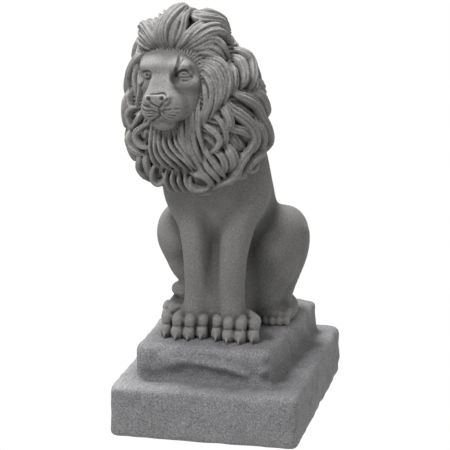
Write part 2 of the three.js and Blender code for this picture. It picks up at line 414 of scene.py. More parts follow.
def mane_share(x, y, z):
    """How far out a point lies in the mass: (|x|^n + |y|^n + |z|^n)^(1/n) of its shares of the half
    sizes, where n grows from 2 above to 2.6 below, which makes the lower end blunter."""
    up = (z - MANE_MIDDLE[2]) / MANE_HALF[2]
    blunt = 2.3 - 0.3 * np.clip(2 * up, -1, 1)
    shift = MANE_LEAN * np.maximum(0, up) ** 1.5 - MANE_SWAY * np.maximum(0, -up)
    across = (x - MANE_MIDDLE[0] + shift) / (MANE_HALF[0] * (1 - MANE_PEAR * up))
    along = (y - MANE_MIDDLE[1]) / MANE_HALF[1]
    return (np.abs(across) ** blunt + np.abs(along) ** blunt + np.abs(up) ** blunt) ** (1 / blunt)


def outwards(points):
    """The direction straight out of the mass: how its share grows along each axis."""
    slope = [mane_share(*(points + step).T) - mane_share(*(points - step).T) for step in np.eye(3)]
    slope = np.array(slope).T
    return slope / np.linalg.norm(slope, axis=1)[:, None]


# %% [markdown]
# A place on the mane can be given in two ways: by a pixel of the picture, where the picture shows it, or by
# two angles from inside the head, where it doesn't.

# %% Places on the mane
def in_picture(stops):
    """Where lines of sight, as (across, down, lift), meet the mane: each is walked in steps of a
    millimetre until its share is that of the lift. One that misses keeps its step nearest to the mane."""
    camera = CAMERA_AT - LION_ORIGIN
    points = []
    for across, down, lift in stops:
        line = camera + sight(across, down) * np.arange(NEAREST, FURTHEST)[:, None]
        excess = mane_share(*line.T) - 1 - lift / MANE_THICK
        met = excess < 0
        points.append(line[met.argmax() if met.any() else excess.argmin()])
    return np.array(points)


def on_mane(around, back, lift):
    """The points of the mane at these angles from inside the head, lifted off its skin. around is 0 over
    the crown and 90 over the lion's left, and back runs from the nose, 0. The way out is halved 20 times."""
    a, b = np.radians(around), np.radians(back)
    way = np.stack([np.sin(b) * np.sin(a), np.cos(b), np.sin(b) * np.cos(a)], 1) @ MANE_AXES
    near, far = np.zeros(len(a)), np.full(len(a), 400.0)
    for _ in range(20):
        half = (near + far) / 2
        out = mane_share(*(INSIDE + way * half[:, None]).T) > 1
        near, far = np.where(out, near, half), np.where(out, half, far)
    return INSIDE + way * (near + lift)[:, None]


# %% [markdown]
# A lock of hair is a strip of clay laid along a curve and scored into strands. Its section is a flat arch,
# wide in the middle of its length and narrow at its ends, with rounded strands and sharp lines between.

# %% Along a lock
STRAND = 6.6  # how wide a strand is
GROOVE = 6  # how deep the lines between strands go


def scored(phase):
    """From 0 to about 0.6 in lines at every half turn: 1 - sqrt(sin^2 + 0.16)."""
    return 1 - np.sqrt(np.sin(phase) ** 2 + 0.16)


def strip_axes(path):
    """The directions across a strip and out of it at each point of its path: run x outwards, and that x
    run, where run is the path's own direction."""
    run = np.gradient(path, axis=0)
    run /= np.linalg.norm(run, axis=1)[:, None]
    side = np.cross(run, outwards(path))
    side /= np.linalg.norm(side, axis=1)[:, None]
    return side, np.cross(side, run)


# %% [markdown]
# A lock's distance is found from the nearest place on its path: how far along it lies, how far across, and
# how far out. The strands run the whole length, so a carver would score them in one pull each.

# %% A lock of hair
# The width and the height at shares of the way from root to tip
WIDTH_ALONG = ((0, 0.3, 0.7, 0.9, 1), (0.6, 1, 0.9, 0.55, 0.2))
HEIGHT_ALONG = ((0, 0.3, 0.75, 1), (0.25, 1, 0.95, 0.4))


def lock(path, half_width, height, strand=STRAND):
    """With u across and v out from the curve, as shares of the width and height there, the distance is
    (sqrt(u^2 + v^2) - 1) height. The strands are scored in it at nearly equal shares across: slow sines
    make them uneven in width and depth."""
    strands = max(1, round(2 * half_width / strand))
    side, normal = strip_axes(path)
    share = np.linspace(0, 1, len(path))
    width = half_width * np.interp(share, *WIDTH_ALONG)
    tall = height * np.interp(share, *HEIGHT_ALONG)
    reach = max(half_width, height)

    def distance(x, y, z):
        nearest = across = out = place = None
        for k in range(len(path) - 1):
            a, line = path[k], path[k + 1] - path[k]
            off = (x - a[0], y - a[1], z - a[2])
            t = sum(o * s for o, s in zip(off, line)) / (line @ line)
            t = np.clip(t, 0, 1).astype(np.float32)
            off = [o - t * s for o, s in zip(off, line)]
            far = sum(o * o for o in off)
            u = sum(o * (s + t * (e - s)) for o, s, e in zip(off, side[k], side[k + 1]))
            v = sum(o * (s + t * (e - s)) for o, s, e in zip(off, normal[k], normal[k + 1]))
            if nearest is None:
                nearest, across, out, place = far, u, v, k + t
                continue
            closer = far < nearest
            nearest = np.where(closer, far, nearest)
            across = np.where(closer, u, across)
            out = np.where(closer, v, out)
            place = np.where(closer, k + t, place)
        w = np.interp(place, np.arange(len(path)), width).astype(np.float32)
        h = np.interp(place, np.arange(len(path)), tall).astype(np.float32)
        ends = np.sqrt(np.maximum(nearest - across**2 - out**2, 0))
        u = across / w
        solid = (np.sqrt(u * u + (out / h) ** 2 + (ends / h) ** 2) - 1) * h
        along = 5 * place / len(path) + len(path)
        lines = scored(strands * np.pi / 2 * (u + 1 + 0.08 * np.sin(4.5 * u + along)))
        fade = np.clip(out / h + 0.5, 0, 1) * np.clip(1.3 * w / half_width, 0, 1)
        return solid + GROOVE * lines * fade * (0.85 + 0.25 * np.sin(3 * u - along))

    return (path.min(0) - reach, path.max(0) + reach), distance


# %% [markdown]
# The plinth is hewn stone: a slab with worn edges, and a lower rock on it that is less even. A block's
# distance is that of a box made smaller by the worn edge, less the edge. Waves bend its faces.

# %% Worn stone
def unevenness(x, y, z, size, seed):
    """From about -1 to 1: a sum of seven sine waves, about size long, in directions drawn from the seed."""
    draw = np.random.default_rng(seed)
    total = 0
    for _ in range(7):
        way = draw.normal(size=3)
        way *= 2 * np.pi / (np.linalg.norm(way) * size * draw.uniform(0.6, 1.6))
        total = total + np.sin(way[0] * x + way[1] * y + way[2] * z + draw.uniform(0, 6.28))
    return (total / 3.5).astype(np.float32)


def block_distance(q, edge):
    """With q the distance beyond the smaller box along each axis: |max(q, 0)| + min(largest q, 0) - edge."""
    beyond = np.sqrt(sum(np.maximum(v, 0) ** 2 for v in q))
    return beyond + np.minimum(np.maximum(np.maximum(q[0], q[1]), q[2]), 0) - edge


def worn_block(middle, half, edge, wear, seed, flare=0):
    """A block whose left side turns by a flare, its distance less wear times two sizes of unevenness."""
    middle, half = np.array(middle, float), np.array(half, float)
    inner = half - edge

    def distance(x, y, z):
        x = x - middle[0]
        y = y - middle[1]
        z = z - middle[2]
        x = x - flare * np.clip(x / half[0], 0, 1) * y / half[1]
        q = [np.abs(v) - size for v, size in zip((x, y, z), inner)]
        waves = 0.6 * unevenness(x, y, z, 95, seed) + 0.3 * unevenness(x, y, z, 30, seed + 1)
        return (block_distance(q, edge) - wear * waves).astype(np.float32)

    room = wear + flare + 3
    return (middle - half - room, middle + half + room), distance


# %% [markdown]
# The slab and the rock are joined with a soft fillet, as the mould has it. Both reach below what shows of
# them, so that only their upper edges are worn.

# %% Slab and rock
SLAB_HALF = (161, 214, SLAB_HEIGHT / 2 + 8)
ROCK_HALF = (121, 165, ROCK_HEIGHT / 2 + 20)
SLAB_MIDDLE = (0, 0, SLAB_HEIGHT - SLAB_HALF[2])
ROCK_MIDDLE = (-7, 5, SLAB_HEIGHT + ROCK_HEIGHT - ROCK_HALF[2])
WORN_EDGE = 13
plinth_clay = Clay((-178, -232, -12), (178, 232, 160), 4.1 * FINE)
plinth_clay.join(worn_block(SLAB_MIDDLE, SLAB_HALF, WORN_EDGE, wear=1.6, seed=3))
plinth_clay.join(worn_block(ROCK_MIDDLE, ROCK_HALF, WORN_EDGE, wear=2.4, seed=11, flare=12), 12)
for name, half in (("slab", SLAB_HALF), ("rock", ROCK_HALF)):
    print("the", name, "is", 2 * half[0], "by", 2 * half[1], "mm")

# %% [markdown]
# The rock's front looks broken. It has three scoops under a rolled lip, a crease over the lip, and a
# knobbly corner with two chips. They would be cut with a gouge and softened with a rasp.

# %% The rock's broken front
ROCK_FRONT = -162
LIP = [[-82, ROCK_FRONT + 2, 100, 4], [-66, ROCK_FRONT + 1, 114, 7], [-40, ROCK_FRONT + 2, 123, 7],
       [-14, ROCK_FRONT + 2, 122, 7], [10, ROCK_FRONT + 1, 117, 7.5], [30, ROCK_FRONT + 2, 118, 7],
       [52, ROCK_FRONT + 1, 109, 7], [68, ROCK_FRONT + 2, 103, 6], [84, ROCK_FRONT + 2, 94, 5]]
CREASE = [[-24, ROCK_FRONT - 2, 136, 3], [-6, ROCK_FRONT - 2, 135, 5], [20, ROCK_FRONT - 2, 132, 5.5],
          [45, ROCK_FRONT - 2, 127, 5.5], [68, ROCK_FRONT - 2, 120, 4]]
CORNER = [[95, -150, 142, 8], [97, -154, 126, 7], [93, -157, 112, 8], [99, -158, 94, 8], [101, -157, 84, 6]]
plinth_clay.join(limb(LIP), 7)
plinth_clay.join(limb(CORNER), 9)
plinth_clay.join(egg((-70, ROCK_FRONT + 2, 124), (16, 7, 14)), 9)
plinth_clay.carve(egg((-27, ROCK_FRONT - 5, 104), (48, 8, 12)), 12)
plinth_clay.carve(egg((36, ROCK_FRONT - 6, 98), (34, 8, 9)), 12)
plinth_clay.carve(egg((-95, ROCK_FRONT - 4, 94), (24, 7, 10)), 10)
plinth_clay.carve(limb(CREASE), 5)
plinth_clay.carve(egg((108, -168, 127), (19, 17, 13)), 4)
plinth_clay.carve(egg((110, -168, 104), (21, 19, 12)), 4)
print("the plinth has", plinth_clay.litres(), "litres of clay")

# %% [markdown]
# The slab's front has a shallow dent, with a crack that runs down and off to the statue's right. Last, all
# the stone gets a skin of small waves, and the underside is cut flat.

# %% The slab's dent and the skin
plinth_clay.carve(limb([[-72, -218, 68, 2.5], [-36, -218, 74, 3.5], [-8, -218, 70, 3]]), 6)
plinth_clay.carve(limb([[-8, -218, 70, 3], [-28, -218, 57, 4.5], [-54, -218, 40, 3]]), 6)
points = plinth_clay.points()
plinth_clay.field -= 0.7 * unevenness(*points, size=14, seed=21) + 1.1 * unevenness(*points, size=34, seed=22)
plinth_clay.field = np.maximum(plinth_clay.field, -plinth_clay.axes[2].astype(np.float32))
plinth = piece("plinth", plinth_clay, shade_and_dirt=0.4, worn=0.42, coarse=1)

# %% [markdown]
# The body is the armature of the lion: a trunk that falls back from the neck to the haunches, two straight
# forelegs, folded hind legs, and a tail that lies round the right haunch. The legs of a seated cast lion
# are never free, because thin gaps would break: the hollow between the forelegs is closed at the back.

# %% Trunk and tail
TRUNK = [[-22, -26, 380, 70], [-15, -12, 300, 86], [-6, 28, 215, 86], [0, 72, 125, 84], [0, 96, 55, 78],
         [0, 100, -12, 72]]
CHEST = ((-9, -36, 252), (88, 62, 100))
BELLY = ((0, 10, 60), (60, 66, 110))
WEB = [[-6, -42, 200, 12], [-5, -52, 130, 18], [-4, -63, 80, 24], [-3, -69, 40, 27], [-2, -72, -4, 27]]
TAIL = [[10, 132, 34, 13], [-30, 146, 14, 11], [-80, 128, 12, 10], [-99, 92, 20, 9], [-96, 50, 38, 10],
        [-87, 18, 49, 13], [-75, 8, 49, 13]]
CLEFT = [[-27, -104, 230, 3], [-17, -98, 205, 8], [-8, -93, 178, 12], [-5, -92, 150, 12], [-4, -94, 115, 9],
         [-3, -98, 82, 5]]
print("the trunk is", 2 * TRUNK[2][3], "mm thick")

# %% [markdown]
# The legs differ a little from side to side, as the photograph shows, so each has a row of its own: 1 is the
# lion's left side and -1 its right.

# %% Legs
FORELEG = {1: [[44, -18, 300, 28], [52, -42, 248, 38], [39, -62, 197, 29], [31, -72, 150, 25.5],
               [28.5, -75, 110, 24], [28, -76, 68, 23], [31, -82, 34, 25]],
           -1: [[-44, -18, 300, 28], [-53, -42, 248, 38], [-41, -62, 197, 28], [-34, -72, 150, 24],
                [-32, -75, 110, 22.5], [-31.5, -76, 68, 21.5], [-34, -82, 34, 24]]}
THIGH = {1: ((85, 50, 139), (50, 82, 61)), -1: ((-82, 50, 142), (47, 82, 58))}
SHIN = {1: [[92, 32, 140, 32], [96, 12, 108, 32], [84, 14, 77, 28], [76, 16, 45, 24], [76, 22, 26, 24]],
        -1: [[-80, 30, 140, 30], [-75, 10, 104, 29], [-62, 12, 77, 24], [-60, 16, 50, 22], [-66, 24, 26, 22]]}
FOOT = {1: ((82, 46, 17), (38, 56, 28)), -1: ((-80, 42, 15), (30, 53, 21))}
FLANK = {1: ((66, 20, 84), (34, 40, 78)), -1: ((-54, 34, 70), (26, 40, 66))}
PAW = {1: 41.5, -1: 47.5}  # from the lion's middle plane to the middle of a forepaw
LEFT_SHIN_RIM = [[128, 44, 156, 8], [127, 40, 120, 9], [117, 34, 84, 9], [104, 28, 48, 9]]
ELBOW_FOLD = {1: [[94, -14, 242, 3], [76, -44, 212, 4], [66, -52, 186, 4], [62, -48, 150, 3]],
              -1: [[-101, -14, 242, 3], [-94, -44, 212, 4], [-77, -52, 186, 4], [-66, -48, 150, 3]]}
TOE_SPREAD = 20.8
HIND_TOE_SPREAD = 11.5
print("a foreleg is", 2 * FORELEG[1][4][3], "mm wide half way up")

# %% [markdown]
# Each front toe is two limbs that meet at a knuckle, a high one from the paw and a steep one down to the
# ground. The crease across the knuckle is carved last, and the claw is pressed on in front of it. The hind
# toes hide under the haunches, so a short limb and an egg are enough for each.

# %% Toes
def front_toes(side):
    """For each toe of a forepaw: the x of its root, and the x and y of its tip. The outer toes stand back
    by the power 1.6 of their place from the paw's middle."""
    for toe in range(4):
        offset = toe - 1.5
        root = side * (PAW[side] - 4 + 12 * offset)
        yield root, side * (PAW[side] + TOE_SPREAD * offset), -116 + 5.5 * abs(offset) ** 1.6


def add_toes(clay, side):
    """Presses the front and hind toes of a side on."""
    for root, x, y in front_toes(side):
        clay.join(limb([[root, y + 36, 37, 9], [x, y + 14, 34, 10], [x, y + 7, 31, 10.4]]), 2.5)
        steep = [[x, y + 7, 31, 10.1], [x, y + 3, 21, 9.7], [x, y - 3, 12, 10.3], [x, y + 1, 6, 10]]
        clay.join(limb(steep), 0.5)
    for toe in range(4):
        x = FOOT[side][0][0] + side * (toe * HIND_TOE_SPREAD - 8)
        y = -7 + 2.4 * abs(toe - 1) ** 1.6
        clay.join(limb([[x, y + 14, 20, 7.5], [x, y + 5, 17, 7.5]]), 3)
        clay.join(egg((x, y, 8), (7, 9, 9)), 1)


def finish_toes(clay, side):
    """Carves each front toe's crease and adds its claw."""
    for _, x, y in front_toes(side):
        crease = [[x - 10.5, y + 3, 22, 1.5], [x - 5.5, y - 5, 24, 2.2], [x + 5.5, y - 5, 24, 2.2],
                  [x + 10.5, y + 3, 22, 1.5]]
        clay.carve(limb(crease), 1.5)
        clay.join(limb([[x, y - 12, 10, 2.8], [x, y - 15.5, 6, 2.7], [x, y - 16, 1, 2.1]]), 0.6)


# %% [markdown]
# The joints are soft where muscle runs into muscle and tight between toes. The body's forms are broad, so
# coarse steps do for it. The feet need finer ones, so they are a part of their own: past the cut each part
# sinks under the other, and the skin that shows is the same as if it were one.

# %% The body
SUNK = 6  # how far the lion reaches into the rock


def tilted(side, angle):
    """The axes of a lump turned about the fore-and-aft axis."""
    c, s = np.cos(side * angle), np.sin(side * angle)
    return np.array([[c, 0, -s], [0, 1, 0], [s, 0, c]])


def body_part(name, low_corner, high_corner, step, cuts):
    """Builds the lion without its head in one part's box. Hollowness grows with the square of the grid's
    step, so its share is (2 / step)^2: it shows alike in every part."""
    clay = Clay(low_corner, high_corner, step * FINE)
    clay.join(limb(TRUNK), 10)
    clay.join(egg(*CHEST), 30)
    clay.join(egg(*BELLY), 20)
    clay.join(limb(WEB), 16)
    for side in (1, -1):
        clay.join(egg(*THIGH[side], tilted(side, 0.32)), 14)
        clay.join(limb(SHIN[side]), 12)
        clay.join(egg(*FLANK[side]), 16)
        clay.join(egg(*FOOT[side]), 9)
        clay.join(limb(FORELEG[side]), 9)
        clay.join(egg((side * (PAW[side] - 4), -82, 22), (34, 28, 22)), 12)
        add_toes(clay, side)
    clay.join(limb(LEFT_SHIN_RIM), 18)
    clay.join(limb(TAIL), 5)
    for side in (1, -1):
        clay.carve(limb(ELBOW_FOLD[side]), 8)
    clay.carve(limb(CLEFT), 12)
    for side in (1, -1):
        finish_toes(clay, side)
    clay.field = np.maximum(clay.field, -SUNK - clay.axes[2].astype(np.float32))
    return piece(name, clay, LION_ORIGIN, shade_and_dirt=(2 / step) ** 2, worn=-0.12, cuts=cuts)


CUT_FEET = 46
UP = 2  # the axis of the cut
body = [body_part("lion_body", (-160, -145, CUT_FEET - 18), (162, 204, 400), 4, [(UP, CUT_FEET, -1)]),
        body_part("lion_feet", (-152, -150, -10), (156, 194, CUT_FEET + 12), 2.05, [(UP, CUT_FEET, 1)])]

# %% [markdown]
# Lines are scored where the picture shows them. A line of sight is walked in half millimetres until it
# enters the clay, and the tool's path runs through these places.

# %% Lines through the picture
def seen_on(clay, stops):
    """The stops, as (across, down, radius) in the picture, as x, y, z and radius on the clay's surface."""
    camera = CAMERA_AT - LION_ORIGIN
    made = []
    for across, down, radius in stops:
        line = camera + sight(across, down) * np.arange(NEAREST, FURTHEST, 0.5)[:, None]
        cells = np.round((line - clay.low) / clay.step).astype(int)
        held = ((cells >= 0) & (cells < clay.field.shape)).all(1)
        cells, line = cells[held], line[held]
        made.append([*line[(clay.field[tuple(cells.T)] < 0).argmax()], radius])
    return made


# %% [markdown]
# The face is modelled over a skull: a flat, broad bridge runs from the brows to a wedge of a nose, the
# muzzle is a blunt box with two pads, and small eyes lie under heavy brows.

# %% A block of the head
def head_block(at, half, edge, nod):
    """A block with round edges in the head's axes, tipped forward by nod degrees."""
    middle = on_head(*at)
    inner = np.array(half) - edge
    c, s = np.cos(np.radians(nod)), np.sin(np.radians(nod))
    axes = np.array([[1, 0, 0], [0, c, s], [0, -s, c]]) @ FACE

    def distance(x, y, z):
        away = (x - middle[0], y - middle[1], z - middle[2])
        q = [np.abs(sum(r * p for r, p in zip(row, away))) - size for row, size in zip(axes, inner)]
        return block_distance(q, edge).astype(np.float32)

    reach = np.linalg.norm(half)
    return (middle - reach, middle + reach), distance


# %% [markdown]
# Each lump is told by its middle, its half sizes and the softness of its joint. The big ones come first.

# %% The skull
SKULL = {
    "back of the skull": ((-4, -54, -14), (54, 50, 52), 1),
    "forehead": ((0, -25, 6), (46, 20, 25), 12),
    "right temple": ((-30, -45, 8), (30, 32, 26), 14),
    "jaw": ((0, -16, -56), (34, 34, 26), 12),
}
head_clay = Clay(EYES + (-100, -60, -120), EYES + (90, 150, 75), 1.2 * FINE)
for at, half, soft in SKULL.values():
    head_clay.join(head_egg(at, half), soft)
BRIDGE_TIP = 42  # degrees that the bridge leans forward
head_clay.join(head_block((-2, 3, -12), (22, 13, 32), 9, BRIDGE_TIP), 10)
head_clay.join(head_block((0, 6, -45), (34, 30, 22), 17, 0), 16)  # the muzzle
head_clay.join(head_egg((-5, 13, -74), (21, 17, 14)), 8)  # the chin
print("the skull has", head_clay.litres(), "litres of clay")

# %% [markdown]
# Cheeks, pads and brows are the same on both sides. The eyes aren't: the photograph shows the right one
# smaller, so each sits in a socket of its own.

# %% Cheeks, nose and eyes
PAIRS = {
    "cheek": ((37, -32, -28), (18, 25, 34), 14),
    "jowl": ((30, -12, -52), (16, 20, 20), 16),
    "whisker pad": ((17, 20, -50), (20, 20, 17), 9),
    "under the eye": ((36, -12, -15), (18, 12, 9), 12),
    "brow": ((25, -9, 14), (18, 9, 8), 14),
}
for at, half, soft in PAIRS.values():
    for at_side in both_sides(at):
        head_clay.join(head_egg(at_side, half), soft)
head_clay.join(head_block((0, 33, -29), (22, 10, 8), 6, 15), 3)
head_clay.join(head_egg((0, 35, -37), (14, 9, 12)), 3)
head_clay.carve(head_egg((33, 5, 1), (14, 9, 7)), 6)
head_clay.carve(head_egg((21, 4, -2), (6, 9, 9)), 6)
head_clay.carve(head_egg((-32, 6, 1), (11, 9, 7)), 6)
head_clay.join(head_egg((34, -11, 0), (12, 9, 7.5)), 3)
head_clay.join(head_egg((-31, -11, -1), (11, 9, 6)), 3)
print("with cheeks and eyes it has", head_clay.litres(), "litres, on", head_clay.field.size, "grid points")

# %% [markdown]
# The finer things of the face are lines: lids and the nose's rim are pressed on as thin rolls, and slits,
# nostrils, the mouth and the whiskers are cut. Each stop is a place in the picture with the tool's radius.

# %% The face's ridges
RIDGES = {
    "left upper lid": [
        (179.5, 74.8, 1), (181.5, 73, 1.6), (184.5, 72.1, 1.8), (187.5, 73, 1.6), (190, 75.2, 1)],
    "left lower lid": [(180.5, 78, 0.8), (183, 78.7, 1.4), (186, 78.9, 1.4), (189, 77.8, 1)],
    "right upper lid": [(143.4, 74, 0.8), (145.5, 73, 1.4), (148.5, 73, 1.4), (150.5, 74.2, 0.8)],
    "nose, rim": [(145, 96.2, 1), (150, 95.8, 1.6), (158, 95.5, 1.6)],
    "nose, left wing": [(161, 95.2, 1.2), (164.4, 95.4, 2), (166.2, 97.8, 2), (164, 99.2, 1.6)],
    "nose, right wing": [(146.5, 97, 1.4), (145.4, 98.8, 1.6), (146, 100.4, 1.2)],
}
for stops in RIDGES.values():
    head_clay.join(limb(seen_on(head_clay, stops)), 1)
print(len(RIDGES), "ridges pressed on")

# %% [markdown]
# All creases are placed on the clay before any of them is cut, so that no line of sight falls into one.

# %% The face's creases
CREASES = {
    "over the left eye": [
        (177.5, 74, 1.7), (179.2, 71.8, 2.2), (181.5, 70.4, 2.4), (184, 70, 2.4), (187, 71, 2.2),
        (190, 73.6, 1.7)],
    "left eye's slit": [(180.6, 74.4, 1.2), (182.5, 73.9, 1.7), (185, 73.9, 1.7), (187.4, 74.6, 1.2)],
    "left eye, under the ball": [(181, 76.8, 1), (184.5, 77.2, 1.4), (188, 76.8, 1.1)],
    "under the left eye": [(182, 80, 1.1), (185, 80.5, 1.4), (188.5, 79.6, 1.1)],
    "left eye, outer corner": [(189.8, 75.2, 1), (191.4, 76, 1.3), (192.4, 77.2, 1)],
    "left eye, inner corner": [(176, 71.5, 2), (176.4, 74, 2.5), (176.4, 76.4, 1.8)],
    "over the right eye": [(142.8, 72.2, 1.2), (145, 71.2, 2), (148.6, 71.1, 2.2), (151, 72.8, 1.9)],
    "right eye, pupil": [(146.4, 74.7, 2.3), (147, 74.8, 2.3)],
    "right eye, inner corner": [(149.2, 75, 1.6), (149.8, 76.6, 1.6)],
    "under the right eye": [(145.6, 78.2, 1.2), (148, 78.6, 1.8), (150, 77.8, 1.2)],
    "right cheek's edge": [(143.6, 76, 1.7), (142.4, 82, 2.4), (140.4, 87, 1.9)],
    "brow, upright": [(178.6, 55, 1.2), (178.6, 60, 2.9), (177.4, 66, 3.4), (175.6, 71, 3.1)],
    "brow, slanting": [(184, 58, 1.2), (180, 63, 2.2), (178, 68, 1.9)],
    "over the nose": [
        (148.4, 94.8, 1.2), (151, 94.2, 1.8), (157, 93.8, 1.8), (161, 92.9, 1.9), (164.6, 93.4, 2.2),
        (167.2, 95.8, 2.4), (168, 98.6, 2.2), (165.8, 100.8, 2.4), (163.4, 102, 2.6)],
    "right nostril": [(148, 98.2, 3.6), (148.6, 98.6, 3.4), (149, 100.8, 2.2)],
    "left nostril": [(161, 98.4, 3.8), (161.8, 98.8, 3.4)],
    "nose, right edge": [(149, 101, 2.2), (151.6, 103.6, 2.4), (154.8, 105.6, 2.4), (158.6, 107.4, 2.4)],
    "nose, left edge": [(163.4, 102, 2.6), (161.6, 104.6, 2.3), (159.6, 107, 2.3)],
    "under the nose": [(158.8, 107.2, 2.4), (159.1, 110.6, 2.6), (159.5, 113.2, 2.4), (160.1, 115.6, 2.4)],
    "mouth, right": [(160.1, 115.6, 2.4), (158, 117.5, 2.8), (155, 119.3, 2.8), (151.6, 121.3, 2.4)],
    "mouth, left": [
        (160.1, 115.6, 2.4), (162.2, 117.3, 2.6), (165, 119, 2.6), (169, 120.4, 2.4), (175.5, 120.6, 1.7)],
    "right whiskers 1": [(156, 108.6, 1.1), (151, 107.4, 1.6), (147, 106.4, 1.6), (142.6, 104.5, 1.1)],
    "right whiskers 2": [(156, 111, 1.1), (150, 110.8, 1.7), (145, 110.4, 1.7), (141.4, 108, 1.1)],
    "right whiskers 3": [(156, 113.4, 1.1), (151, 113.6, 1.6), (145, 113.4, 1.1)],
    "right whiskers 4": [(156.4, 115.4, 1.1), (151, 116.4, 1.7), (146, 116.2, 1.1)],
    "left whiskers 1": [(161.8, 110.8, 1.1), (166, 109.6, 1.6), (173, 109.2, 1.4), (180, 108.6, 1)],
    "left whiskers 2": [(162, 112.2, 1.1), (167, 112.2, 1.7), (174, 112.4, 1.4), (179, 113, 1)],
    "left whiskers 3": [(162.4, 113.6, 1.1), (167, 114.6, 1.7), (176, 115.4, 1.2)],
    "left whiskers 4": [(163, 115.2, 1.1), (167, 116.8, 1.7), (175, 118, 1.2)],
}
paths = [seen_on(head_clay, stops) for stops in CREASES.values()]
for path in paths:
    head_clay.carve(limb(path), 1.2)
print(len(CREASES), "creases cut")
head = piece("lion_head", head_clay, LION_ORIGIN, shade_and_dirt=1.7)

# %% [markdown]
# The mane is the hardest part to carve, and it makes the likeness. Its locks are placed one by one, where
# they lie in the photograph. A row gives half its width and its height in millimetres, and the places that
# it passes: pixels across and down, and the lift off the mane. Over the brow they rise like flames, told
# from the lion's right to its left. Their roots start under the skin, so that they grow out of the forehead.

# %% Locks over the brow
BROW_LOCKS = {
    "brow lock, lowest": (7, 8, [(155, 49, -2), (148, 46, 6), (142, 42, 8), (138, 37, 4)]),
    "brow lock, middle": (8, 9, [(158, 48, -2), (150, 42, 8), (144, 36, 10), (139, 31, 5)]),
    "brow lock, turned over": (11, 10, [
        (161, 47, -2), (154, 39, 9), (149, 31, 12), (144, 25, 12), (139, 27, 5)]),
    "brow lock, behind": (9, 9, [(160, 40, -2), (156, 30, 9), (152, 23, 10), (145, 22, 5)]),
    "flame, first strand": (7, 10, [
        (164, 48, -2), (158, 39, 9), (157, 30, 12), (161, 21, 13), (168, 13, 8)]),
    "flame, middle": (15, 13, [
        (168, 49, -2), (165, 38, 11), (166, 27, 16), (172, 16, 17), (181, 8, 12), (187, 7, 5)]),
    "flame, third strand": (7, 11, [
        (171, 49, -2), (173, 38, 10), (175, 28, 14), (180, 17, 15), (187, 8, 8)]),
    "flame, edge": (9, 11, [(174, 48, -2), (179, 38, 9), (182, 28, 13), (184, 18, 14), (190, 9, 8)]),
    "crown wave, first": (7, 10, [(176, 49, -2), (184, 40, 9), (191, 31, 12), (198, 25, 12), (208, 22, 7)]),
    "crown wave, second": (8, 11, [
        (180, 49, -2), (190, 40, 9), (199, 32, 12), (209, 27, 13), (220, 27, 12), (230, 33, 5)]),
    "crown wave, third": (8, 11, [
        (184, 49, -2), (195, 42, 9), (205, 35, 12), (215, 32, 13), (225, 35, 11), (232, 44, 5)]),
    "crown wave, fourth": (8, 10, [
        (188, 49, -2), (198, 45, 7), (208, 40, 10), (217, 41, 11), (224, 48, 10), (229, 57, 4)]),
    "crown wave, fifth": (6, 9, [(191, 50, -2), (201, 48, 6), (211, 47, 8), (219, 52, 8), (225, 60, 4)]),
    "crown wave, sixth": (6, 8, [(194, 53, -2), (204, 52, 5), (213, 55, 7), (221, 61, 7), (227, 69, 3)]),
    "crown top, left": (10, 10, [(190, 14, 4), (199, 18, 10), (209, 19, 11), (220, 22, 8), (228, 29, 4)]),
    "crown top, right": (10, 10, [(194, 11, 4), (204, 13, 9), (214, 15, 10), (223, 21, 8), (230, 30, 4)]),
}
print(len(BROW_LOCKS), "locks over the brow")

# %% [markdown]
# Past the left cheek long waves fall from the temple, and thin strands from there along the jaw.

# %% Locks past the left cheek
CHEEK_LOCKS = {
    "cheek lock, outer": (9, 10, [
        (202, 57, -2), (214, 60, 8), (223, 67, 10), (228, 78, 10), (228, 90, 9), (224, 102, 5)]),
    "cheek lock, second": (7, 9, [
        (199, 61, -2), (210, 65, 7), (218, 74, 9), (222, 86, 9), (221, 98, 8), (216, 110, 4)]),
    "cheek lock, third": (6, 8, [
        (197, 66, -2), (206, 69, 6), (213, 78, 8), (217, 90, 8), (216, 104, 7), (210, 118, 3)]),
    "cheek lock, fourth": (5, 8, [
        (199, 71, -2), (206, 77, 6), (211, 88, 8), (211, 102, 7), (207, 114, 5), (205, 124, 2)]),
    "cheek lock, inner": (5, 7, [(202, 80, -2), (205, 90, 6), (206, 103, 7), (203, 115, 6), (203, 127, 2)]),
    "jaw strand, first": (5, 7, [
        (198, 97, 0), (198, 106, 4), (198, 116, 7), (198, 126, 7), (200, 137, 7), (204, 150, 6),
        (207, 162, 2)]),
    "jaw strand, second": (5, 7, [
        (191, 100, -2), (192, 108, 5), (192, 118, 8), (193, 131, 7), (195, 144, 7), (200, 157, 6),
        (207, 168, 2)]),
    "jaw strand, third": (5, 7, [
        (187, 112, 0), (187, 120, 6), (188, 130, 8), (188, 137, 7), (191, 149, 7), (197, 162, 7),
        (206, 173, 5), (214, 180, 2)]),
    "jaw strand, fourth": (4.5, 7, [
        (182, 120, 0), (182, 128, 7), (184, 142, 7), (189, 153, 7), (196, 165, 4)]),
}
print(len(CHEEK_LOCKS), "locks past the left cheek")

# %% [markdown]
# Further out on the lion's left the hair is in big waves and curls that turn back on themselves. Dark
# pockets lie between them, so several locks are told by the rim of a pocket that they go round.

